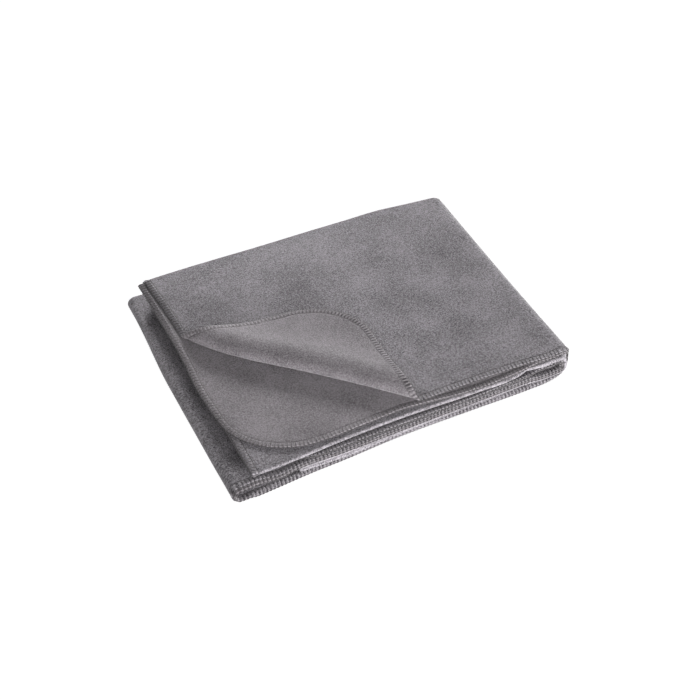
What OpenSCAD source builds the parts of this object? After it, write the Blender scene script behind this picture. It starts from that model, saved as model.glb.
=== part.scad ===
// Folded throw blanket: one hemmed fleece cloth, quartered front to back and quartered left to right,
// with the front left corner of the top leaf turned back. It lies flat on Z = 0, front toward -Y,
// closed left roll toward -X, origin at the centre of the footprint.

/* [Cloth] */
// Long side of the open throw
cloth_long = 1600; // [1200:10:2000]
// Short side of the open throw
cloth_short = 1300; // [1000:10:1700]
// Fleece thickness, pile included
cloth_t = 2.0; // [1.2:0.1:4]
// Air between neighbouring leaves
leaf_gap = 0.3; // [0.3:0.05:1]
// Radius of the rounded cloth corners
corner_r = 75; // [20:5:120]

/* [Fold] */
// First hem of each pass, set back from the front fold
hem_1_inset = 11.3; // [0:0.1:30]
// Second hem of each pass, set back from the front fold
hem_2_inset = 4.7; // [0:0.1:30]
// End hem of the top pass, set back from the left roll
top_end_inset = 19.5; // [5:0.5:60]
// End hem of the second pass, set back from the left roll
second_end_inset = 11; // [5:0.5:60]

/* [Turned corner] */
// Distance from the corner to the crease along the left hem
crease_left = 206; // [80:1:260]
// Distance from the corner to the crease along the front hem
crease_front = 195; // [80:1:260]
// Cloth taken up by the soft crease
crease_ease = 14; // [0:1:25]

/* [Edging] */
// Width of the overlock thread beyond the cloth edge
edging_w = 1.6; // [0.8:0.1:3]
// Space between the cloth edge and its thread
edging_gap = 0.1; // [0.05:0.05:0.3]

/* [Node] */
// Which sub-part to draw

/* [Hidden] */
$fn = 96;

fleece = [0.44, 0.43, 0.45];
fleece_back = [0.53, 0.52, 0.54];
thread = [0.33, 0.32, 0.34];

// Heights. A pass is four leaves thick and four passes make the pile.
pitch = cloth_t + leaf_gap;
pass_h = 3 * pitch + cloth_t;
middle_gap = leaf_gap + 0.1;
third_z = pass_h + leaf_gap;
middle_z = third_z + pass_h + middle_gap / 2;
second_z = middle_z + middle_gap / 2;
top_z = second_z + pass_h + leaf_gap;
pile_h = top_z + pass_h;
roll_z = pass_h + leaf_gap / 2;

// Radii of the turns, measured to the middle of the cloth.
tight_turn = pitch / 2;
wide_turn = 1.5 * pitch;
inner_wrap_r = middle_gap / 2;
outer_wrap_r = inner_wrap_r + pass_h + leaf_gap;
left_roll_r = leaf_gap / 2;

// Depth of a leaf between its turns, so that the four leaves and three turns use the short side.
turns_short = PI * (wide_turn + 2 * tight_turn);
leaf_d = (cloth_short + hem_1_inset + hem_2_inset - turns_short) / 4;
pile_d = leaf_d + tight_turn + wide_turn + cloth_t;
fold_y = -pile_d / 2 + tight_turn + cloth_t / 2;
back_y = fold_y + leaf_d;
hem_1_y = fold_y + hem_1_inset;
hem_2_y = fold_y + hem_2_inset;

// Length of a pass between its turns, so that four passes and three turns use the long side.
turns_long = PI * (inner_wrap_r + outer_wrap_r + left_roll_r + 1.5 * pass_h);
pass_w = (cloth_long + top_end_inset + second_end_inset - turns_long) / 4;
pile_w = pass_w + left_roll_r + outer_wrap_r + 2 * pass_h;
roll_x = -pile_w / 2 + left_roll_r + pass_h;
wrap_x = roll_x + pass_w;
top_end_x = roll_x + top_end_inset;
second_end_x = roll_x + second_end_inset;

// The crease and the corner of cloth folded over it.
flap_z = pile_h + leaf_gap;
crease_z = pile_h + leaf_gap / 2;
crease_a = [top_end_x, hem_1_y + crease_left];
crease_b = [top_end_x + crease_front, hem_1_y];
crease_len = norm(crease_b - crease_a);
crease_angle = atan2(crease_b[1] - crease_a[1], crease_b[0] - crease_a[0]);
tip_along = crease_left * crease_left / crease_len;
tip_off = crease_left * crease_front / crease_len - crease_ease;

big = 1000;
seam = 0.05;

// Half of a ring of cloth, closed toward side (1 back, -1 front).
module turn(r_mid, side) {
  difference() {
    circle(r = r_mid + cloth_t / 2);
    circle(r = r_mid - cloth_t / 2);
    translate([side > 0 ? -big : 0, -big / 2]) square([big, big]);
  }
}

module leaf(y_front, level) {
  translate([y_front, level * pitch]) square([back_y - y_front, cloth_t]);
}

// Four leaves of one pass in (y, height): first hem on top, doubled leaf with its front fold below.
module section(first_y = hem_1_y, second_y = hem_2_y) {
  leaf(first_y, 3);
  leaf(second_y, 2);
  leaf(fold_y, 1);
  leaf(fold_y, 0);
  translate([back_y, pass_h / 2]) turn(wide_turn, 1);
  translate([back_y, pass_h / 2]) turn(tight_turn, 1);
  translate([fold_y, tight_turn + cloth_t / 2]) turn(tight_turn, -1);
}

// A straight pass from x1 to x2 at height z, hems up or down.
module straight(x1, x2, z, hems_up) {
  translate([x1, 0, z + (hems_up ? 0 : pass_h)]) scale([1, 1, hems_up ? 1 : -1])
    rotate([90, 0, 90]) linear_extrude(x2 - x1) children();
}

// A pass bent about the Y axis. Children are a section; r is the free radius inside the bend.
module bend(r, from, sweep, hems_out) {
  rotate([-90, 0, 0]) rotate([0, 0, from]) rotate_extrude(angle = sweep)
    translate([hems_out ? r : r + pass_h, 0]) scale([hems_out ? 1 : -1, 1])
      mirror([1, -1]) children();
}

// Keeps the upper (1) or lower (-1) side of the middle gap.
module keep_half(side) {
  intersection() {
    children();
    translate([-big / 2, -big / 2, side > 0 ? middle_gap / 2 : -big - middle_gap / 2]) cube(big);
  }
}

// What a rounded cloth corner removes, for a corner at the left and front of a leaf.
module corner_waste(x, y, r) {
  difference() {
    translate([x - r, y - r]) square([2 * r, 2 * r]);
    translate([x + r, y + r]) circle(r = r);
    translate([x + r, y - 2 * r]) square([2 * r, 4 * r]);
    translate([x - 2 * r, y + r]) square([4 * r, 2 * r]);
  }
}

// Plan frame of the crease: along the crease, and off over the top leaf.
module at_crease() {
  translate(crease_a) rotate(crease_angle) children();
}

// Rounded outline of the turned corner, grown sideways for its edging.
module flap_outline(grow) {
  left_slope = atan2(tip_off, tip_along);
  right_slope = atan2(tip_off, crease_len - tip_along);
  reach = corner_r / cos((left_slope + right_slope) / 2);
  lean = (left_slope - right_slope) / 2;
  centre = [tip_along + reach * sin(lean), tip_off - reach * cos(lean)];
  far = 4 * corner_r;
  difference() {
    intersection() {
      translate([-big / 2, 0]) square([big, big]);
      rotate(left_slope) translate([-big / 2, grow - big]) square([big, big]);
      translate([crease_len, 0]) rotate(-right_slope) translate([-big / 2, grow - big]) square([big, big]);
    }
    difference() {
      translate(centre) polygon([
        [0, 0],
        [far * sin(right_slope), far * cos(right_slope)],
        [0, 2 * far],
        [-far * sin(left_slope), far * cos(left_slope)]
      ]);
      translate(centre) circle(r = corner_r + grow);
    }
  }
}

// A quarter of the crease turn, upper (1) or lower (-1).
module crease_quarter(side) {
  inset = 3;
  translate([crease_a[0], crease_a[1], crease_z]) rotate([0, 0, crease_angle])
    translate([inset, 0, 0]) rotate([90, 0, 90]) linear_extrude(crease_len - 2 * inset)
      difference() {
        circle(r = tight_turn + cloth_t / 2);
        circle(r = tight_turn - cloth_t / 2);
        translate([0, -big / 2]) square([big, big]);
        translate([-big / 2, side > 0 ? -big + leaf_gap / 2 : -leaf_gap / 2]) square([big, big]);
      }
}

// Region of the top leaf that the turned corner has left.
module crease_waste() {
  translate([0, 0, pile_h - cloth_t - leaf_gap / 2]) linear_extrude(cloth_t + leaf_gap)
    at_crease() translate([-big / 2, -big]) square([big, big]);
}

module top_pass() color(fleece) {
  second_leaf_z = top_z + 2 * pitch - leaf_gap / 2;
  difference() {
    straight(top_end_x, wrap_x - seam, top_z, true) section();
    crease_waste();
    translate([0, 0, second_leaf_z]) linear_extrude(pitch) corner_waste(top_end_x, hem_2_y, corner_r);
  }
  crease_quarter(-1);
}

module second_pass() color(fleece) {
  difference() {
    straight(second_end_x, wrap_x - seam, second_z, false) section();
    translate([0, 0, second_z - leaf_gap / 2]) linear_extrude(pitch)
      corner_waste(second_end_x, hem_1_y, corner_r);
    translate([0, 0, second_z + pitch - leaf_gap / 2]) linear_extrude(pitch)
      corner_waste(second_end_x, hem_2_y, corner_r);
  }
}

module third_pass() color(fleece) straight(roll_x + seam, wrap_x - seam, third_z, true) section();

module bottom_pass() color(fleece) straight(roll_x + seam, wrap_x - seam, 0, false) section();

module left_roll() color(fleece)
  translate([roll_x, 0, roll_z]) bend(left_roll_r, 90, 180, true) section();

module at_wrap() {
  translate([wrap_x, 0, middle_z]) children();
}

module inner_wrap_lower() color(fleece)
  at_wrap() keep_half(-1) bend(inner_wrap_r, 0, 90, false) section();

module outer_wrap_lower() color(fleece)
  at_wrap() keep_half(-1) bend(outer_wrap_r, 0, 90, true) section();

module inner_wrap_upper() color(fleece)
  at_wrap() keep_half(1) bend(inner_wrap_r, -90, 90, false) section();

module outer_wrap_upper() color(fleece)
  at_wrap() keep_half(1) bend(outer_wrap_r, -90, 90, true) section();

module turned_corner() color(fleece_back) {
  translate([0, 0, flap_z]) linear_extrude(cloth_t) at_crease() flap_outline(0);
  crease_quarter(1);
}

module edging_corner() color(thread) {
  start = 2;
  translate([0, 0, flap_z]) linear_extrude(cloth_t) at_crease() difference() {
    flap_outline(edging_gap + edging_w);
    flap_outline(edging_gap);
    translate([-big / 2, -big + start]) square([big, big]);
  }
}

// Thread in front of a hem, as a section in (y, height).
module hem_thread(y, level) {
  translate([y - edging_gap - edging_w, level * pitch]) square([edging_w, cloth_t]);
}

// Thread along the end of a pass, following the four leaves and their turns.
module end_thread(x, z, hems_up, first_y, second_y) {
  straight(x - edging_gap - edging_w, x - edging_gap, z, hems_up) section(first_y, second_y);
}

// Thread round a cloth corner at the left and front of a leaf.
module corner_thread(x, y, z) {
  translate([x + corner_r, y + corner_r, z]) rotate([0, 0, 180]) rotate_extrude(angle = 90)
    translate([corner_r + edging_gap, 0]) square([edging_w, cloth_t]);
}

module edging_top_front() color(thread) {
  clear = 3;
  straight(crease_b[0] + clear, wrap_x + seam / 2, top_z, true) hem_thread(hem_1_y, 3);
  at_wrap() keep_half(1) bend(outer_wrap_r, -90, 90, true) hem_thread(hem_1_y, 3);
}

module edging_top_end() color(thread) {
  clear = 4;
  end_thread(top_end_x, top_z, true, crease_a[1] + clear, hem_2_y + corner_r);
  corner_thread(top_end_x, hem_2_y, top_z + 2 * pitch);
  straight(top_end_x + corner_r, wrap_x, top_z, true) hem_thread(hem_2_y, 2);
  at_wrap() keep_half(1) bend(outer_wrap_r, -90, 90, true) hem_thread(hem_2_y, 2);
}

module edging_inner_end() color(thread) {
  end_thread(second_end_x, second_z, false, hem_1_y + corner_r, hem_2_y + corner_r);
  corner_thread(second_end_x, hem_1_y, second_z);
  corner_thread(second_end_x, hem_2_y, second_z + pitch);
  straight(second_end_x + corner_r, wrap_x, second_z, false) hem_thread(hem_1_y, 3);
  straight(second_end_x + corner_r, wrap_x, second_z, false) hem_thread(hem_2_y, 2);
  at_wrap() keep_half(1) bend(inner_wrap_r, -90, 90, false) hem_thread(hem_1_y, 3);
  at_wrap() keep_half(1) bend(inner_wrap_r, -90, 90, false) hem_thread(hem_2_y, 2);
}

// Thread of one hem through the lower half: inner wrap, third pass, left roll, bottom pass, outer wrap.
module lower_thread(y, level) {
  at_wrap() keep_half(-1) bend(inner_wrap_r, 0, 90, false) hem_thread(y, level);
  straight(roll_x, wrap_x, third_z, true) hem_thread(y, level);
  translate([roll_x, 0, roll_z]) bend(left_roll_r, 90, 180, true) hem_thread(y, level);
  straight(roll_x, wrap_x, 0, false) hem_thread(y, level);
  at_wrap() keep_half(-1) bend(outer_wrap_r, 0, 90, true) hem_thread(y, level);
}

module edging_lower_first() color(thread) lower_thread(hem_1_y, 3);

module edging_lower_second() color(thread) lower_thread(hem_2_y, 2);

top_pass();
second_pass();
third_pass();
bottom_pass();
left_roll();
inner_wrap_lower();
outer_wrap_lower();
inner_wrap_upper();
outer_wrap_upper();
turned_corner();
edging_corner();
edging_top_front();
edging_top_end();
edging_inner_end();
edging_lower_first();
edging_lower_second();
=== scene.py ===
import bpy
import math
import numpy as np
from mathutils import Matrix, Vector


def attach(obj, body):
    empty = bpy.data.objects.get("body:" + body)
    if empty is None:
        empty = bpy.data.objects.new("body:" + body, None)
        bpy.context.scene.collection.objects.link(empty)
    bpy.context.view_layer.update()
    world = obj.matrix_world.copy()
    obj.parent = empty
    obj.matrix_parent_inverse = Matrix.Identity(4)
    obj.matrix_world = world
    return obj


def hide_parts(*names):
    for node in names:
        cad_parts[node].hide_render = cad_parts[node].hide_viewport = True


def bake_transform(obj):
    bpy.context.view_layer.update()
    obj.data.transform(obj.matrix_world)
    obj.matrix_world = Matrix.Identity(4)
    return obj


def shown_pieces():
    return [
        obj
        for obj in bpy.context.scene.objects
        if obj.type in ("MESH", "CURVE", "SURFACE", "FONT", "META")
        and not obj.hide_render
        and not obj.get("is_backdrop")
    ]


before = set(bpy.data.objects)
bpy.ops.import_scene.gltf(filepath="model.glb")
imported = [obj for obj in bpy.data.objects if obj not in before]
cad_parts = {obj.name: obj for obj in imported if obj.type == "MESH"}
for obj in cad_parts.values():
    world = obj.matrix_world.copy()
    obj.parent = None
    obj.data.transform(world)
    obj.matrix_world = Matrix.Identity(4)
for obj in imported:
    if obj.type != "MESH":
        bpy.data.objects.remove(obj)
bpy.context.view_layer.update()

# ---------------------------------------------------------------- sizes, mm
MM = 0.001
LONG = 1600.0        # flat cloth, the way it is folded end to end (s runs along it)
SHORT = 1300.0       # flat cloth, the way it is folded front to back (q runs along it)
CORNER_R = 75.0      # rounding of the four cut corners
THICK = 2.12         # fleece, pile included
PITCH = 2.3          # height of one leaf in the pile
HEM_W = 6.4          # width of the overlock band, edge to needle line
STITCH = 4.4         # one stitch every so far along the hem

# heights of the leaf stack, measured from its own middle
H1, H2, H3, H4 = 1.5 * PITCH, 0.5 * PITCH, -0.5 * PITCH, -1.5 * PITCH
R_OUT_TURN = 1.5 * PITCH     # back turn joining leaf 1 and leaf 4
R_IN_TURN = 0.5 * PITCH      # back turn joining leaf 2 and leaf 3
BACK_Y = 161.09
HEM1_Y = -152.09
HEM2_Y = -158.69
FOLD_Y = -163.39
Z_A, Z_B, Z_C, Z_D = 32.15, 22.95, 13.65, 4.45
Z_MID = 18.3         # height the two right-hand wraps turn about
Z_ROLL = 9.05        # height the left roll turns about
R_WRAP = Z_A - Z_MID
R_CURL = Z_B - Z_MID
R_ROLL = Z_ROLL - Z_D
WRAP_X = 190.12
ROLL_X = -199.37
TOP_END_X = -179.87

# lengths of the runs along s
A_LEN = WRAP_X - TOP_END_X
WRAP_LEN = math.pi * R_WRAP
D_LEN = WRAP_X - ROLL_X
ROLL_LEN = math.pi * R_ROLL
CURL_LEN = math.pi * R_CURL
S_A = A_LEN
S_WRAP = S_A + WRAP_LEN
S_D = S_WRAP + D_LEN
S_ROLL = S_D + ROLL_LEN
S_C = S_ROLL + D_LEN
S_CURL = S_C + CURL_LEN
B_LEN = LONG - S_CURL

# lengths of the runs along q
Q_1 = BACK_Y - HEM1_Y
Q_T1 = Q_1 + math.pi * R_OUT_TURN
Q_4 = Q_T1 + BACK_Y - FOLD_Y
Q_F = Q_4 + math.pi * 0.5 * PITCH
Q_3 = Q_F + BACK_Y - FOLD_Y
Q_T2 = Q_3 + math.pi * R_IN_TURN

# the turned-back corner
CREASE_LEFT = 206.0
CREASE_FRONT = 195.0
CREASE_LEN = math.hypot(CREASE_LEFT, CREASE_FRONT)
CREASE_U = np.array([CREASE_FRONT, -CREASE_LEFT]) / CREASE_LEN
CREASE_N = np.array([CREASE_LEFT, CREASE_FRONT]) / CREASE_LEN
CUT_OFF = 4.0        # the corner piece starts this far behind the crease
CORNER_REACH = 115.0     # cloth from the cut line to the rounded tip, about
CORNER_LAND = 0.96 * PITCH   # height of the corner's middle surface where it lies on the top leaf


def spline(x, xs, ys):
    """A smooth line through the points (xs, ys), held level outside them."""
    xs, ys = np.asarray(xs, float), np.asarray(ys, float)
    slope = np.gradient(ys, xs)
    i = np.clip(np.searchsorted(xs, x) - 1, 0, len(xs) - 2)
    h = xs[i + 1] - xs[i]
    t = np.clip((x - xs[i]) / h, 0, 1)
    t2, t3 = t * t, t * t * t
    return ((2 * t3 - 3 * t2 + 1) * ys[i] + (t3 - 2 * t2 + t) * h * slope[i]
            + (3 * t2 - 2 * t3) * ys[i + 1] + (t3 - t2) * h * slope[i + 1])


def mix(a, b, t):
    return a + (b - a) * t


def smooth(t):
    t = np.clip(t, 0, 1)
    return t * t * (3 - 2 * t)


def s_of(run, x):
    """Place along s of the point at x on one run of the fold."""
    if run == "A":
        return x - TOP_END_X
    if run == "W":
        return S_A + x * WRAP_LEN
    if run == "D":
        return S_WRAP + WRAP_X - x
    if run == "C":
        return S_ROLL + x - ROLL_X
    return S_CURL + WRAP_X - x


def front_line(*knots):
    """Front edge of a leaf all along s, from (run, x, y) knots.

    On the outer wrap x is the share of its turn.
    """
    pairs = sorted((s_of(run, x), y) for run, x, y in knots)
    return [p[0] for p in pairs], [p[1] for p in pairs]


FRONT_1 = front_line(
    ("A", -178, -153), ("A", 15, -153), ("A", 81, -151.2), ("A", 140, -152), ("A", 186, -153.6),
    ("W", 0.2, -151.5), ("W", 0.45, -145.5), ("W", 0.8, -151),
    ("D", 180, -154), ("D", 165, -153.5), ("D", 81, -155.5), ("D", -16, -158), ("D", -82, -161.5),
    ("D", -118, -163.5), ("D", -152, -166), ("D", -177, -169), ("D", -197, -173),
    ("C", -197, -172.5), ("C", -176, -171), ("C", -155, -172), ("C", -134, -168.8), ("C", -83, -168),
    ("C", 0, -165), ("C", 81, -162), ("C", 150, -160), ("C", 184, -159.5),
    ("B", 184, -155), ("B", 150, -157.5), ("B", 81, -162), ("B", 0, -164.5), ("B", -91, -167),
    ("B", -186, -168))
FRONT_2 = front_line(
    ("A", -178, -157.5), ("A", -132, -157.8), ("A", -92, -159.5), ("A", -56, -157.8),
    ("A", -16, -155.3), ("A", 0, -154.5), ("A", 20, -156), ("A", 81, -161), ("A", 140, -158.3),
    ("A", 162, -155.3), ("A", 186, -155),
    ("W", 0.2, -152.5), ("W", 0.45, -146.5), ("W", 0.8, -153),
    ("D", 180, -157.5), ("D", 150, -159.3), ("D", 81, -160.3), ("D", -16, -162.5), ("D", -82, -167.3),
    ("D", -118, -169.3), ("D", -152, -172.5), ("D", -177, -175), ("D", -197, -176.5),
    ("C", -197, -176), ("C", -176, -174), ("C", -155, -174), ("C", -134, -170), ("C", -83, -169),
    ("C", 0, -166), ("C", 81, -162.5), ("C", 150, -160.5), ("C", 184, -160),
    ("B", 184, -157), ("B", 150, -159), ("B", 81, -162.5), ("B", 0, -165), ("B", -91, -168),
    ("B", -186, -170))
FRONT_F = front_line(
    ("A", -178, -170), ("A", -132, -168), ("A", -90, -164.5), ("A", -40, -161.5), ("A", 10, -160),
    ("A", 81, -160), ("A", 140, -157), ("A", 162, -148), ("A", 186, -145),
    ("W", 0.5, -147),
    ("D", 186, -149), ("D", 150, -152), ("D", 81, -156), ("D", -16, -159), ("D", -82, -162.5),
    ("D", -125, -165.5), ("D", -197, -165.5),
    ("C", -197, -165.5), ("C", -125, -165.5), ("C", -82, -164), ("C", -16, -161), ("C", 81, -158),
    ("C", 184, -156.5),
    ("B", 184, -155.5), ("B", 160, -155.5), ("B", 146, -150), ("B", 81, -152), ("B", -91, -157),
    ("B", -186, -160))
# how far the back of the pile stands out, in the same form
BACK_SHIFT = front_line(
    ("A", -178, -1.5), ("A", -30, 0.5), ("A", 80, 2.5), ("A", 125, 3), ("A", 155, -0.5), ("A", 186, -4.5),
    ("W", 0.5, -6), ("D", 180, -1.5), ("D", 60, 2.5), ("D", -60, 0.5), ("D", -190, -1.5),
    ("C", -190, -2.5), ("C", 0, 0), ("C", 180, -1), ("B", 180, -2), ("B", 0, 0.5), ("B", -180, -1))


def hem_place(s, q):
    """Distance from the cut edge of the cloth, and how far round the edge, at a flat point."""
    straight = np.stack([q, s, SHORT - q, LONG - s])
    side = straight.argmin(0)
    d = straight.min(0)
    along = np.choose(side, [s, q, s, q])
    cs, cq = np.minimum(s, LONG - s), np.minimum(q, SHORT - q)
    rs, rq = CORNER_R - cs, CORNER_R - cq
    in_corner = (rs > 0) & (rq > 0)
    reach = np.hypot(rs, rq)
    turn = np.arctan2(rs, rq)
    d = np.where(in_corner, CORNER_R - reach, d)
    along = np.where(in_corner, CORNER_R * (1 - turn), along)
    return d, along


def half_thick(d):
    """Half the cloth's thickness, near a hem: rounded edge, puffed band, pinched needle line."""
    return 0.5 * THICK * spline(d, [-1, 0, 0.5, 1.4, 2.8, 4.6, 5.6, HEM_W, 7.2, 8.6, 11, 14],
                                [0.10, 0.42, 0.84, 1.0, 1.03, 1.0, 0.86, 0.62, 0.82, 0.95, 1, 1])


WRAP_SQUEEZE = 0.985     # the same all along the right-hand turns


def squeeze(x, y):
    """How much the pile is pressed or puffed in height at a place."""
    k = spline(x, [-200, -120, 0, 110, 165, 189], [0.975, 0.985, 0.975, 0.96, 0.972, WRAP_SQUEEZE])
    wave = (0.012 * np.sin(x / 61.0 + 0.6) * np.cos(y / 53.0 + 0.4)
            + 0.006 * np.sin(x / 27.0 + y / 31.0 + 1.1)
            - 0.012 * smooth((y - 120) / 45))
    return k + wave * (1 - smooth((x - 158) / 30))


def fold(s, q):
    """Middle surface of the cloth in the folded pile, before the corner is turned back."""
    s, q = np.broadcast_arrays(np.asarray(s, float), np.asarray(q, float))
    f1, f2, ff = (spline(s, *line) for line in (FRONT_1, FRONT_2, FRONT_F))
    back = BACK_Y + spline(s, *BACK_SHIFT)
    g1 = q / Q_1
    g4 = (q - Q_T1) / (Q_4 - Q_T1)
    g3 = (q - Q_F) / (Q_3 - Q_F)
    g2 = (q - Q_T2) / (SHORT - Q_T2)
    t1 = np.pi * (q - Q_1) / (Q_T1 - Q_1)
    tf = np.pi * (q - Q_4) / (Q_F - Q_4)
    t2 = np.pi * (q - Q_3) / (Q_T2 - Q_3)
    leaf = np.searchsorted([Q_1, Q_T1, Q_4, Q_F, Q_3, Q_T2], q)
    r_f = 0.5 * PITCH
    y = np.choose(leaf, [mix(f1, back, g1), back + R_OUT_TURN * np.sin(t1), mix(back, ff, g4),
                         ff - r_f * np.sin(tf), mix(ff, back, g3), back + R_IN_TURN * np.sin(t2),
                         mix(back, f2, g2)])
    h = np.choose(leaf, [H1 + 0 * q, R_OUT_TURN * np.cos(t1), H4 + 0 * q,
                         (H3 + H4) / 2 - r_f * np.cos(tf), H3 + 0 * q, -R_IN_TURN * np.cos(t2),
                         H2 + 0 * q])
    # ends of the runs, leaf by leaf
    second_end = spline(y, [-160, -110, -82, -41, 25, 150], [-188.5, -189, -190, -191.8, -189, -190])
    end_a = np.where(q > Q_T2 - 2, second_end,
                     spline(q, [0, 290, 330, 500, 900, Q_T2], [-180.9, -180.9, -184, -186.5, -187, -190]))
    end_b = -176 + 2.0 * np.sin(q / 90.0)
    near_front = smooth((y + 165) / 320)
    roll_12 = ROLL_X - 2.4 + 5.0 * smooth((y - 10) / 130)
    roll_f = mix(-127.5, ROLL_X + 5, near_front ** 0.8)
    inner = smooth((q - Q_1) / 60) * smooth((Q_T2 + 40 - q) / 60)
    roll = mix(roll_12, roll_f, inner)
    wrap = WRAP_X + spline(y, [-160, -130, -60, 60, 150], [0.7, 0.3, -0.6, -0.6, 0.2])
    run = np.searchsorted([S_A, S_WRAP, S_D, S_ROLL, S_C, S_CURL], s)
    g_a = s / A_LEN
    a_w = np.pi * (s - S_A) / WRAP_LEN
    g_d = (s - S_WRAP) / D_LEN
    a_r = np.pi * (s - S_D) / ROLL_LEN
    g_c = (s - S_ROLL) / D_LEN
    a_c = np.pi * (s - S_C) / CURL_LEN
    g_b = (s - S_CURL) / B_LEN
    # the wrap is squarer over its top than under its bottom
    sin_w, cos_w = np.clip(np.sin(a_w), 0, 1), np.cos(a_w)
    boxy = np.where(cos_w > 0, 0.74, 1.0)
    x = np.choose(run, [mix(end_a, wrap, g_a), wrap + (R_WRAP + h) * sin_w ** boxy, mix(wrap, roll, g_d),
                        roll - (R_ROLL + h) * np.sin(a_r), mix(roll, wrap, g_c),
                        wrap + (R_CURL - h) * np.sin(a_c), mix(wrap, end_b, g_b)])
    z = np.choose(run, [Z_A + h, Z_MID + (R_WRAP + h) * np.sign(cos_w) * np.abs(cos_w) ** boxy, Z_D - h,
                        Z_ROLL - (R_ROLL + h) * np.cos(a_r), Z_C + h,
                        Z_MID - (R_CURL - h) * np.cos(a_c), Z_B - h])
    # the left roll stands a little open at the front, where nothing lies on it
    low = (run >= 2) & (run <= 4)
    z = z * np.where(low, 1 + 0.2 * smooth((-152 - x) / 40) * smooth((-112 - y) / 45), 1)
    # the stitched edges of the second pass fluff up into the gap over them
    over = np.choose(run, [0, 0, 0, 0, 0, (1 - np.cos(a_c)) / 2, 1])
    outer_leaves = smooth(h / H2)
    opened = smooth((x - 147) / 18) * smooth((-144 - y) / 10)
    z = z + over * outer_leaves * 1.5 * smooth((-153 - y) / 8) * (1 - opened)
    # at the front right the inner turns spring apart and leave a hollow in the middle
    dz = z - Z_MID
    spring = opened * (np.where(dz > 0, 0.22, -0.03) * dz + 2.5 * dz / np.sqrt(dz * dz + 0.8))
    z = z + np.where(run >= 4, spring, 0)
    # the second leaf of the bottom pass hangs down over the edge of the first
    droop = 2.0 * smooth((f1 - 0.5 - y) / 6) * smooth((x + 194) / 12)
    z = z - np.where((run == 2) & (leaf == 6), droop, 0)
    return np.stack([x, y, z * squeeze(x, y)], -1)


def past_cut(s, q):
    """How far a flat point of the first leaf is beyond the line where the turned corner starts."""
    return CUT_OFF - (s * CREASE_N[0] + (q - CREASE_LEFT) * CREASE_N[1])


def corner_section():
    """Section across the turned corner: how far back and how high it has come after each length of cloth."""
    step = 0.2
    a = np.arange(0, 170, step)
    heading = np.radians(spline(a, [0, 1.5, 4.5, 7, 11, 15, 19, 23, 28, 34, 44, 56, 70, 86, 110],
                                [180, 165, 112, 68, 45, 33, 23, 12, 1, -7, -12, -10, -5, -2, 0]))
    off = np.concatenate([[0], np.cumsum(np.cos(heading[:-1]) * step)])
    rise = np.concatenate([[0], np.cumsum(np.sin(heading[:-1]) * step)])
    crest = rise.argmax()
    tail = rise[-1]
    # past the crest it comes down to lie on the leaf
    lying = CORNER_LAND + (rise - tail) * (rise[crest] - CORNER_LAND) / (rise[crest] - tail)
    return a, off, np.where(np.arange(len(a)) < crest, rise, lying)


SECTION_A, SECTION_OFF, SECTION_RISE = corner_section()


def turned(s, q):
    """Middle surface of the corner that is folded back over the top leaf."""
    a = past_cut(s, q)
    foot_s, foot_q = s + a * CREASE_N[0], q + a * CREASE_N[1]
    b = (foot_s * CREASE_U[0] + (foot_q - CREASE_LEFT) * CREASE_U[1]) / CREASE_LEN
    base = fold(foot_s, foot_q)
    size = spline(b, [0, 0.05, 0.12, 0.3, 0.6, 0.85, 1.0], [0.93, 0.95, 0.94, 0.94, 0.94, 0.88, 0.8])
    off = size * np.interp(a / size, SECTION_A, SECTION_OFF)
    rise = np.interp(a / size, SECTION_A, SECTION_RISE)
    settled = smooth((a / size - 30) / 60)
    rise = mix(size * rise, CORNER_LAND + size * (rise - CORNER_LAND), settled)
    rise = rise + 0.35 * settled * np.sin(b * 11 + a / 19.0)
    # the crease bows out over its left half, a little clear of the leaf under it
    bow = spline(b, [0, 0.06, 0.17, 0.30, 0.42, 0.53, 0.70, 0.84, 1.0],
                 [0, 4.6, 8.6, 8.7, 6.2, 3.7, 1.2, 0, -1])
    started = smooth(a / 2.5)
    off = off - bow * started
    away_from_ends = smooth(b / 0.05) * smooth((1 - b) / 0.05)
    rise = rise + 1.9 * started * (1 - smooth((a - 5) / 18)) * away_from_ends
    base[..., 0] += off * CREASE_N[0]
    base[..., 1] += off * CREASE_N[1]
    base[..., 2] += rise
    return base


def surface(s, q, on_corner):
    return turned(s, q) if on_corner else fold(s, q)


def normals(s, q, on_corner):
    e = 0.04
    ds = surface(s + e, q, on_corner) - surface(s - e, q, on_corner)
    dq = surface(s, q + e, on_corner) - surface(s, q - e, on_corner)
    n = np.cross(ds, dq)
    return n / np.maximum(np.linalg.norm(n, axis=-1, keepdims=True), 1e-12)


def skin(s, q, side, on_corner):
    """The cloth's outer surface on one side: its middle surface moved out by half the thickness there."""
    half = half_thick(hem_place(s, q)[0])[..., None]
    return surface(s, q, on_corner) + side * half * normals(s, q, on_corner)


def skin_normals(s, q, side, on_corner):
    e = 0.05
    ds = skin(s + e, q, side, on_corner) - skin(s - e, q, side, on_corner)
    dq = skin(s, q + e, side, on_corner) - skin(s, q - e, side, on_corner)
    n = side * np.cross(ds, dq)
    return n / np.maximum(np.linalg.norm(n, axis=-1, keepdims=True), 1e-12)


# ---------------------------------------------------------------- stations of the cloth grid
HEM_STEPS = [0, 0.4, 1.0, 1.9, 3.1, 4.6, 5.5, HEM_W, 7.3, 8.6, 11]


def steps(a, b, size):
    return np.linspace(a, b, max(2, int(round((b - a) / size)) + 1))


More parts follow.
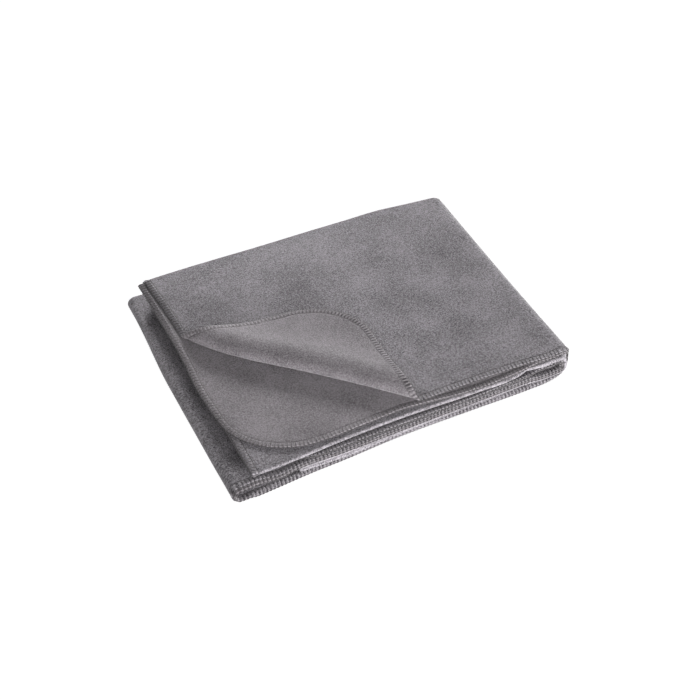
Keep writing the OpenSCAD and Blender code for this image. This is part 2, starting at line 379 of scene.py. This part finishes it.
S_LINES = np.unique(np.round(np.concatenate([
    HEM_STEPS, steps(14, S_A, 5), np.linspace(S_A, S_WRAP, 19), steps(S_WRAP, S_D, 5.5),
    np.linspace(S_D, S_ROLL, 15), steps(S_ROLL, S_C, 5.5), np.linspace(S_C, S_CURL, 15),
    steps(S_CURL, LONG - 14, 5), LONG - np.array(HEM_STEPS)]), 6))
Q_LINES = np.unique(np.round(np.concatenate([
    HEM_STEPS, steps(14, Q_1, 5), np.linspace(Q_1, Q_T1, 11), steps(Q_T1, Q_4 - 8, 6.5),
    steps(Q_4 - 8, Q_4, 2), np.linspace(Q_4, Q_F, 9), steps(Q_F, Q_F + 8, 2), steps(Q_F + 8, Q_3, 6.5),
    np.linspace(Q_3, Q_T2, 9), steps(Q_T2, SHORT - 14, 5), SHORT - np.array(HEM_STEPS)]), 6))


def round_corner(s, q):
    """Moves grid points near the cloth's corners so the rows follow the rounded edge."""
    cs, cq = np.minimum(s, LONG - s), np.minimum(q, SHORT - q)
    ring = np.minimum(cs, cq)
    near = (cs < CORNER_R) & (cq < CORNER_R)
    span = np.maximum(CORNER_R - ring, 1e-9)
    f = np.where(cs <= cq, (CORNER_R - cq) / span / 2, 1 - (CORNER_R - cs) / span / 2)
    ang = np.pi / 2 * f
    ns = CORNER_R - span * np.cos(ang)
    nq = CORNER_R - span * np.sin(ang)
    out_s = np.where(near, np.where(s < LONG / 2, ns, LONG - ns), s)
    out_q = np.where(near, np.where(q < SHORT / 2, nq, SHORT - nq), q)
    return out_s, out_q


def flat_grid(s_lines, q_lines):
    s, q = np.meshgrid(s_lines, q_lines, indexing="ij")
    rs, rq = round_corner(s, q)
    # the first leaf of the top run stops at the line where its corner is turned back
    cut_q = CREASE_LEFT + (CUT_OFF - s * CREASE_N[0]) / CREASE_N[1]
    top_leaf = (q < Q_1) & (s < S_A)
    cut = np.clip(cut_q, 0, None)
    squeezed = cut + (Q_1 - cut) * q / Q_1
    use = top_leaf & (cut_q > 0)
    cornered = top_leaf & (s < CORNER_R) & (q < CORNER_R)
    rs, rq = np.where(cornered, s, rs), np.where(cornered, q, rq)
    return rs, np.where(use, squeezed, rq)


def corner_grid():
    """Flat points of the turned corner: rows run from the cut line out to the hem."""
    cut_len_q = CREASE_LEFT + CUT_OFF / CREASE_N[1]
    cut_len_s = cut_len_q * CREASE_N[1] / CREASE_N[0]
    near_end = np.array([0.0008, 0.004, 0.01, 0.018])
    b = np.concatenate([near_end, np.linspace(0.028, 0.972, 96), 1 - near_end[::-1]])
    b = b[::-1]     # in this order the cloth's face looks out
    s0, q0 = b * cut_len_s, (1 - b) * cut_len_q
    reach = np.minimum(s0 / CREASE_N[0], q0 / CREASE_N[1])
    # where the way out meets the rounded corner instead
    from_centre_s, from_centre_q = s0 - CORNER_R, q0 - CORNER_R
    nearest = from_centre_s * CREASE_N[0] + from_centre_q * CREASE_N[1]
    disc = nearest ** 2 - (from_centre_s ** 2 + from_centre_q ** 2 - CORNER_R ** 2)
    to_arc = nearest + np.sqrt(np.maximum(disc, 0))
    hit_s, hit_q = s0 - to_arc * CREASE_N[0], q0 - to_arc * CREASE_N[1]
    on_arc = (disc > 0) & (hit_s < CORNER_R) & (hit_q < CORNER_R)
    reach = np.where(on_arc, to_arc, reach)
    hem_share = 1 - np.array([8.6, 7.3, HEM_W, 5.5, 4.6, 3.1, 1.9, 1.0, 0.4, 0]) / CORNER_REACH
    g = np.concatenate([np.linspace(0, 0.24, 24), np.linspace(0.26, 0.91, 22), hem_share])
    a = g[None, :] * reach[:, None]
    return s0[:, None] - a * CREASE_N[0], q0[:, None] - a * CREASE_N[1]


# ---------------------------------------------------------------- materials
def new_material(name):
    m = bpy.data.materials.new(name)
    m.use_nodes = True
    m.node_tree.nodes.clear()
    return m, m.node_tree


class Shader:
    """Short hand for wiring a node tree."""

    def __init__(self, tree):
        self.tree = tree

    def add(self, kind, inputs=None, **props):
        n = self.tree.nodes.new(kind)
        for k, v in props.items():
            setattr(n, k, v)
        for k, v in (inputs or {}).items():
            if isinstance(v, bpy.types.NodeSocket):
                self.tree.links.new(v, n.inputs[k])
            else:
                n.inputs[k].default_value = v
        return n

    def math(self, op, a, b=0.0, c=0.0):
        return self.add("ShaderNodeMath", {0: a, 1: b, 2: c}, operation=op).outputs[0]


def linear(r, g, b):
    def one(v):
        v /= 255.0
        return v / 12.92 if v <= 0.04045 else ((v + 0.055) / 1.055) ** 2.4
    return (one(r), one(g), one(b), 1.0)


def fleece_material(name, light, dark, curl_depth, grain_mix):
    m, tree = new_material(name)
    sh = Shader(tree)
    flat = sh.add("ShaderNodeUVMap", uv_map="flat").outputs[0]
    hem = sh.add("ShaderNodeUVMap", uv_map="hem").outputs[0]
    hem_xy = sh.add("ShaderNodeSeparateXYZ", {0: hem})
    along, depth = hem_xy.outputs[0], hem_xy.outputs[1]
    warp = sh.add("ShaderNodeTexNoise", {"Vector": flat, "Scale": 420.0, "Detail": 1.0})
    shifted = sh.add("ShaderNodeVectorMath", {0: warp.outputs["Color"], 1: (0.0018, 0.0018, 0.0018)},
                     operation="MULTIPLY")
    moved = sh.add("ShaderNodeVectorMath", {0: flat, 1: shifted.outputs[0]}, operation="ADD")
    curls = sh.add("ShaderNodeTexNoise", {"Vector": moved.outputs[0], "Scale": 760.0, "Detail": 3.0,
                                          "Roughness": 0.6}).outputs["Fac"]
    fibre = sh.add("ShaderNodeTexNoise", {"Vector": flat, "Scale": 1900.0, "Detail": 2.0}).outputs["Fac"]
    cloud = sh.add("ShaderNodeTexNoise", {"Vector": flat, "Scale": 16.0, "Detail": 3.0}).outputs["Fac"]
    # overlock band: a puff between neighbouring stitches, a valley at each stitch; in the colour it is
    # painted light on each puff and painted shade in each valley
    in_band = sh.add("ShaderNodeMapRange", {"Value": depth, "From Min": HEM_W * MM * 0.86,
                                            "From Max": HEM_W * MM * 1.04,
                                            "To Min": 1.0, "To Max": 0.0}).outputs[0]
    wave = sh.math("SINE", sh.math("MULTIPLY", along, 2 * math.pi / (STITCH * MM)))
    puff_and_shade = sh.math("MULTIPLY", in_band, wave)
    tone = sh.math("ADD", sh.math("MULTIPLY", curls, 1 - grain_mix), sh.math("MULTIPLY", fibre, grain_mix))
    tone = sh.math("ADD", tone, sh.math("MULTIPLY", sh.math("SUBTRACT", cloud, 0.5), 0.22))
    # painted light on the puffs and painted shade in the valleys, added to the colour
    tone = sh.math("ADD", tone, sh.math("MULTIPLY", puff_and_shade, 0.10))
    # painted shade: a thin dark line along the needle line, where it pinches the cloth into a groove
    needle_line_shade = sh.math("COMPARE", depth, (HEM_W + 0.3) * MM, 0.0006)
    tone = sh.math("SUBTRACT", tone, sh.math("MULTIPLY", needle_line_shade, 0.10))
    ramp = sh.add("ShaderNodeMapRange", {"Value": tone, "From Min": 0.38, "From Max": 0.60})
    colour = sh.add("ShaderNodeMix", {0: ramp.outputs[0], 6: dark, 7: light}, data_type="RGBA")
    height = sh.math("ADD", sh.math("MULTIPLY", curls, 0.8 * curl_depth),
                     sh.math("MULTIPLY", fibre, 0.25 * curl_depth))
    height = sh.math("ADD", height, sh.math("MULTIPLY", puff_and_shade, 0.00028))
    bump = sh.add("ShaderNodeBump", {"Height": height, "Strength": 1.0, "Distance": 1.0})
    surf = sh.add("ShaderNodeBsdfPrincipled", {"Base Color": colour.outputs[2], "Roughness": 0.95,
                                               "Normal": bump.outputs[0]})
    surf.inputs["Specular IOR Level"].default_value = 0.12
    surf.inputs["Sheen Weight"].default_value = 0.35
    surf.inputs["Sheen Roughness"].default_value = 0.45
    surf.inputs["Sheen Tint"].default_value = (0.85, 0.83, 0.85, 1.0)
    sh.add("ShaderNodeOutputMaterial", {0: surf.outputs[0]})
    return m


def thread_material(name, dark, light):
    m, tree = new_material(name)
    sh = Shader(tree)
    where = sh.add("ShaderNodeTexCoord").outputs["Object"]
    ply = sh.add("ShaderNodeTexNoise", {"Vector": where, "Scale": 900.0, "Detail": 2.0}).outputs["Fac"]
    colour = sh.add("ShaderNodeMix", {0: ply, 6: dark, 7: light}, data_type="RGBA")
    bump = sh.add("ShaderNodeBump", {"Height": ply, "Strength": 0.5, "Distance": 0.0003})
    surf = sh.add("ShaderNodeBsdfPrincipled", {"Base Color": colour.outputs[2], "Roughness": 0.7,
                                               "Normal": bump.outputs[0]})
    surf.inputs["Sheen Weight"].default_value = 0.2
    sh.add("ShaderNodeOutputMaterial", {0: surf.outputs[0]})
    return m


FACE = fleece_material("fleece_face", linear(152, 148, 153), linear(58, 55, 58), 0.0010, 0.25)
UNDER = fleece_material("fleece_under", linear(148, 143, 147), linear(84, 80, 83), 0.0006, 0.35)
THREAD = thread_material("needle_thread", linear(100, 96, 98), linear(143, 138, 140))
# the same thread as the legs, a shade darker: painted shade on the chain of loops along the very edge
SHADED_EDGE_THREAD = thread_material("edge_thread_painted_shade", linear(58, 55, 57), linear(92, 88, 90))


# ---------------------------------------------------------------- meshes
def make_mesh(name, points, quads, materials, face_material=None, uvs=(), point_normals=None):
    mesh = bpy.data.meshes.new(name)
    mesh.vertices.add(len(points))
    # pressed flat where it meets the floor
    points = np.column_stack([points[:, :2], np.maximum(points[:, 2], 0.0)])
    mesh.vertices.foreach_set("co", (points * MM).astype(np.float32).ravel())
    mesh.loops.add(4 * len(quads))
    mesh.loops.foreach_set("vertex_index", quads.astype(np.int32).ravel())
    mesh.polygons.add(len(quads))
    mesh.polygons.foreach_set("loop_start", np.arange(0, 4 * len(quads), 4, dtype=np.int32))
    mesh.update(calc_edges=True)
    mesh.validate()
    for m in materials:
        mesh.materials.append(m)
    if face_material is not None:
        mesh.polygons.foreach_set("material_index", face_material.astype(np.int32))
    for uv_name, values in uvs:
        layer = mesh.uv_layers.new(name=uv_name)
        layer.data.foreach_set("uv", values[quads.ravel()].astype(np.float32).ravel())
    mesh.polygons.foreach_set("use_smooth", np.ones(len(quads), bool))
    mesh.update()
    if point_normals is not None:
        mesh.normals_split_custom_set_from_vertices(point_normals.tolist())
    o = bpy.data.objects.new(name, mesh)
    bpy.context.scene.collection.objects.link(o)
    return o


def cloth_piece(name, s, q, on_corner=False):
    """A closed piece of cloth over a grid of flat points: face side, under side and rims."""
    mid = surface(s, q, on_corner)
    nrm = normals(s, q, on_corner)
    d, along = hem_place(s, q)
    half = half_thick(d)[..., None]
    rows, cols = s.shape
    # the cloth's face is away from the pile's inside; on the first leaf it looks up
    face, under = mid + nrm * half, mid - nrm * half
    points = np.concatenate([face.reshape(-1, 3), under.reshape(-1, 3)])
    idx = np.arange(rows * cols).reshape(rows, cols)
    top = np.stack([idx[:-1, :-1], idx[1:, :-1], idx[1:, 1:], idx[:-1, 1:]], -1).reshape(-1, 4)
    n = rows * cols
    bottom = top[:, ::-1] + n
    rim = np.concatenate([idx[:, 0], idx[-1, 1:], idx[::-1, -1][1:], idx[0, ::-1][1:]])
    a, b = rim[:-1], rim[1:]
    sides = np.stack([b, a, a + n, b + n], -1)[:, ::-1]
    quads = np.concatenate([top, bottom, sides])
    which = np.concatenate([np.zeros(len(top)), np.ones(len(bottom)), np.zeros(len(sides))])
    flat = np.tile(np.stack([s, q], -1).reshape(-1, 2) * MM, (2, 1))
    hem = np.tile(np.stack([along, d], -1).reshape(-1, 2) * MM, (2, 1))
    out = np.concatenate([skin_normals(s, q, 1, on_corner).reshape(-1, 3),
                          skin_normals(s, q, -1, on_corner).reshape(-1, 3)])
    return make_mesh(name, points, quads, [FACE, UNDER], which, [("flat", flat), ("hem", hem)], out)


def lines_between(lines, a, b):
    return lines[(lines >= a - 1e-4) & (lines <= b + 1e-4)]


Q_MID_T1, Q_MID_F, Q_MID_T2 = (Q_1 + Q_T1) / 2, (Q_4 + Q_F) / 2, (Q_3 + Q_T2) / 2


def grid_piece(name, s_from, s_to, q_from=0.0, q_to=SHORT):
    s_lines = lines_between(S_LINES, s_from, s_to)
    q_lines = lines_between(Q_LINES, q_from, q_to)
    return cloth_piece(name, *flat_grid(s_lines, q_lines))


top_cloth = grid_piece("top_cloth", 0, S_A)
second_cloth = grid_piece("second_cloth", S_CURL, LONG)
lower_cloth = grid_piece("lower_cloth", S_WRAP, S_C)
outer_wrap = grid_piece("outer_wrap", S_A, S_WRAP)
curl_1 = grid_piece("inner_wrap_1", S_C, S_CURL, 0, Q_MID_T1)
curl_4 = grid_piece("inner_wrap_4", S_C, S_CURL, Q_MID_T1, Q_MID_F)
curl_3 = grid_piece("inner_wrap_3", S_C, S_CURL, Q_MID_F, Q_MID_T2)
curl_2 = grid_piece("inner_wrap_2", S_C, S_CURL, Q_MID_T2, SHORT)
corner_cloth = cloth_piece("corner_cloth", *corner_grid(), on_corner=True)


# ---------------------------------------------------------------- overlock stitching
TUBE_SIDES = 5
LEG_RADIUS = 0.28


def tubes(paths, side, radius):
    """Thin five-sided threads along paths (count, points, 3); side is roughly across each path."""
    count, k, _ = paths.shape
    t = np.gradient(paths, axis=1)
    t /= np.maximum(np.linalg.norm(t, axis=-1, keepdims=True), 1e-12)
    e1 = np.cross(t, side[:, None, :])
    e1 /= np.maximum(np.linalg.norm(e1, axis=-1, keepdims=True), 1e-12)
    e2 = np.cross(t, e1)
    turns = [2 * math.pi * i / TUBE_SIDES for i in range(TUBE_SIDES)]
    ring = [paths + radius * (math.cos(v) * e1 + math.sin(v) * e2) for v in turns]
    pts = np.stack(ring, 2)     # count, k, TUBE_SIDES, 3
    idx = np.arange(count * k * TUBE_SIDES).reshape(count, k, TUBE_SIDES)
    nxt = np.roll(idx, -1, 2)
    quads = np.stack([idx[:, :-1], nxt[:, :-1], nxt[:, 1:], idx[:, 1:]], -1).reshape(-1, 4)
    return pts.reshape(-1, 3), quads


def hem_points():
    """Flat edge points one stitch apart, all round the cloth, with the way in and the way along."""
    out = []
    r = CORNER_R
    sides = [((r, 0), (LONG - r, 0), (0, 1)), ((LONG, r), (LONG, SHORT - r), (-1, 0)),
             ((LONG - r, SHORT), (r, SHORT), (0, -1)), ((0, SHORT - r), (0, r), (1, 0))]
    centres = [(LONG - r, r, -90), (LONG - r, SHORT - r, 0), (r, SHORT - r, 90), (r, r, 180)]
    for (p, e, inward), (cx, cy, start) in zip(sides, centres):
        p, e = np.array(p, float), np.array(e, float)
        n = int(round(np.linalg.norm(e - p) / STITCH))
        way = (e - p) / np.linalg.norm(e - p)
        for i in range(n):
            out.append((*(p + (e - p) * (i + 0.5) / n), *inward, *way))
        n = int(round(r * math.pi / 2 / STITCH))
        for i in range(n):
            v = math.radians(start + 90 * (i + 0.5) / n)
            c, sn = math.cos(v), math.sin(v)
            out.append((cx + r * c, cy + r * sn, -c, -sn, -sn, c))
    return np.array(out)


def stitch_region(s, q):
    if q < Q_1 and s < S_A and past_cut(s, q) > 0:
        return "corner"
    if s < S_A or s > S_CURL:
        return "upper"
    if s < S_WRAP:
        return "outer_wrap"
    if s < S_C:
        return "lower"
    return "inner_wrap_1" if q < SHORT / 2 else "inner_wrap_2"


def stitches():
    hem = hem_points()
    # a stitch goes with the run of cloth that lies this far in from it
    inside = 3
    regions = np.array([stitch_region(p[0] + inside * p[2], p[1] + inside * p[3]) for p in hem])
    rng = np.random.default_rng(7)
    slant = 0.7 + 0.25 * rng.standard_normal(len(hem))
    made = {}
    # the legs: depth from the edge, side (+1 face, -1 under), lift above the cloth
    legs = [(HEM_W, 1, -0.25), (4.4, 1, 0.20), (2.0, 1, 0.22), (0.5, 1, 0.2), (-0.35, 0, 0),
            (0.5, -1, 0.2), (2.0, -1, 0.22), (4.4, -1, 0.20), (HEM_W, -1, -0.25)]
    # the chain of loops at the very edge, then the two needle lines: depth, side, lift, thread radius
    chains = [(-0.45, 0, 0.0, 0.34), (HEM_W, 1, 0.02, 0.22), (HEM_W, -1, 0.02, 0.22)]
    for region in sorted(set(regions)):
        pick = regions == region
        p, inward, way = hem[pick, 0:2], hem[pick, 2:4], hem[pick, 4:6]
        sl = slant[pick]
        on_corner = region == "corner"
        path = []
        for depth, side, lift in legs:
            flat = p + inward * depth + way * (sl * side * (depth / HEM_W))[:, None]
            mid = surface(flat[:, 0], flat[:, 1], on_corner)
            nrm = normals(flat[:, 0], flat[:, 1], on_corner)
            up = half_thick(np.array([max(depth, 0.0)]))[0] + lift
            path.append(mid + nrm * (side * up))
        path = np.stack(path, 1)
        e = 0.3
        along = (surface(p[:, 0] + way[:, 0] * e, p[:, 1] + way[:, 1] * e, on_corner)
                 - surface(p[:, 0] - way[:, 0] * e, p[:, 1] - way[:, 1] * e, on_corner))
        along /= np.linalg.norm(along, axis=1, keepdims=True)
        pts, quads = tubes(path, along, LEG_RADIUS)
        parts, faces, base = [pts], [quads], len(pts)
        tone = [np.zeros(len(quads))]
        for depth, side, lift, radius in chains:
            chain = []
            for shift in (-0.5, -0.25, 0.0, 0.25, 0.5):
                wob = 0.28 * math.cos(2 * math.pi * shift)
                flat = p + way * (shift * STITCH) + inward * (depth + (wob if side == 0 else 0))
                mid = surface(flat[:, 0], flat[:, 1], on_corner)
                nrm = normals(flat[:, 0], flat[:, 1], on_corner)
                up = side * (half_thick(np.array([max(depth, 0.0)]))[0] + lift)
                chain.append(mid + nrm * up)
            chain = np.stack(chain, 1)
            side_way = normals(p[:, 0] + inward[:, 0], p[:, 1] + inward[:, 1], on_corner)
            cpts, cquads = tubes(chain, side_way, radius)
            parts.append(cpts)
            faces.append(cquads + base)
            # the edge chain takes the darker copy of the thread, painted shade; the needle lines take the
            # plain thread
            tone.append(np.full(len(cquads), 1.0 if side == 0 else 0.0))
            base += len(cpts)
        made[region] = make_mesh("thread_" + region, np.concatenate(parts), np.concatenate(faces),
                                 [THREAD, SHADED_EDGE_THREAD], np.concatenate(tone))
    return made


threads = stitches()

# ---------------------------------------------------------------- bodies, replaced nodes
for piece in (top_cloth, second_cloth, threads["upper"]):
    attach(piece, "upper_half")
for piece in (lower_cloth, threads["lower"]):
    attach(piece, "lower_half")


def blend_up(piece):
    """A turn at the right: its placement is baked into its mesh, and it stays with neither half."""
    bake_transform(piece)


for piece in (outer_wrap, threads["outer_wrap"]):
    blend_up(piece)
for piece, r in ((curl_1, H1), (curl_2, H2), (curl_3, H3), (curl_4, H4),
                 (threads["inner_wrap_1"], H1), (threads["inner_wrap_2"], H2)):
    blend_up(piece)

# the corner's placement is baked into its mesh
for piece in (corner_cloth, threads["corner"]):
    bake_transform(piece)

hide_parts("top_pass")
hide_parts("second_pass")
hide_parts("bottom_pass", "third_pass", "left_roll")
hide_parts("outer_wrap_lower", "outer_wrap_upper")
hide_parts("inner_wrap_lower", "inner_wrap_upper")
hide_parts("turned_corner")
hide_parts("edging_corner")
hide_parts("edging_top_front", "edging_top_end", "edging_inner_end")
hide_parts("edging_lower_first", "edging_lower_second")

# ---------------------------------------------------------------- studio
FLOOR_HALF = 6.0
FLOOR_Z = -0.0002    # just under the cloth, so the two don't share a surface
floor_mesh = bpy.data.meshes.new("floor")
floor_corners = [(x * FLOOR_HALF, y * FLOOR_HALF, FLOOR_Z) for x, y in ((-1, -1), (1, -1), (1, 1), (-1, 1))]
floor_mesh.from_pydata(floor_corners, [], [(0, 1, 2, 3)])
floor = bpy.data.objects.new("floor", floor_mesh)
bpy.context.scene.collection.objects.link(floor)
floor_mat, floor_tree = new_material("studio_floor")
fsh = Shader(floor_tree)
paper = fsh.add("ShaderNodeBsdfDiffuse", {"Color": (0.93, 0.93, 0.93, 1)})
glow = fsh.add("ShaderNodeEmission", {"Color": (1, 1, 1, 1), "Strength": 0.87})
both = fsh.add("ShaderNodeAddShader", {0: paper.outputs[0], 1: glow.outputs[0]})
fsh.add("ShaderNodeOutputMaterial", {0: both.outputs[0]})
floor_mesh.materials.append(floor_mat)
floor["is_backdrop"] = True

world = bpy.data.worlds.new("studio")
bpy.context.scene.world = world
world.use_nodes = True
world.node_tree.nodes["Background"].inputs[0].default_value = (1.0, 0.995, 0.99, 1.0)
world.node_tree.nodes["Background"].inputs[1].default_value = 0.20


def softbox(name, azimuth, elevation, distance, width, height, watts):
    """A rectangular light aimed at the pile; azimuth 0 stands behind it, turning to the right."""
    data = bpy.data.lights.new(name, "AREA")
    data.shape = "RECTANGLE"
    data.size, data.size_y = width, height
    data.energy = watts
    o = bpy.data.objects.new(name, data)
    az, el = math.radians(azimuth), math.radians(elevation)
    place = Vector((math.sin(az) * math.cos(el), math.cos(az) * math.cos(el), math.sin(el))) * distance
    o.location = place
    o.rotation_euler = (-place).to_track_quat("-Z", "Y").to_euler()
    bpy.context.scene.collection.objects.link(o)
    return o


key = softbox("key_back", 4, 15.2, 1.5, 0.34, 0.18, 43.5)
left = softbox("left_fill", -155, 30, 1.1, 0.8, 0.5, 3.8)
front = softbox("front_fill", 160, 5.5, 1.5, 1.2, 0.3, 46.0)

# the lamps light the cloth only, so the white floor stays even
lit = bpy.data.collections.new("lit_cloth")
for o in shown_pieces():
    if o.name not in lit.objects:
        lit.objects.link(o)
for lamp in (key, left, front):
    lamp.light_linking.receiver_collection = lit

# ---------------------------------------------------------------- camera
CAMERA_DISTANCE = 1.7129
azimuth, elevation = math.radians(-25.57), math.radians(42.85)
back = Vector((math.sin(azimuth) * math.cos(elevation), -math.cos(azimuth) * math.cos(elevation),
               math.sin(elevation)))
right = Vector((math.cos(azimuth), math.sin(azimuth), 0))
up = back.cross(right)
target = Vector((-0.00965, -0.03397, 0.020))
camera_data = bpy.data.cameras.new("camera")
camera_data.sensor_width = 36.0
camera_data.lens = 78.33
camera_data.clip_start = 0.05
camera = bpy.data.objects.new("camera", camera_data)
turn = Matrix((right, up, back)).transposed().to_4x4()
camera.matrix_world = Matrix.Translation(target + back * CAMERA_DISTANCE) @ turn
bpy.context.scene.collection.objects.link(camera)
bpy.context.scene.camera = camera
bpy.context.scene.view_settings.view_transform = "Standard"
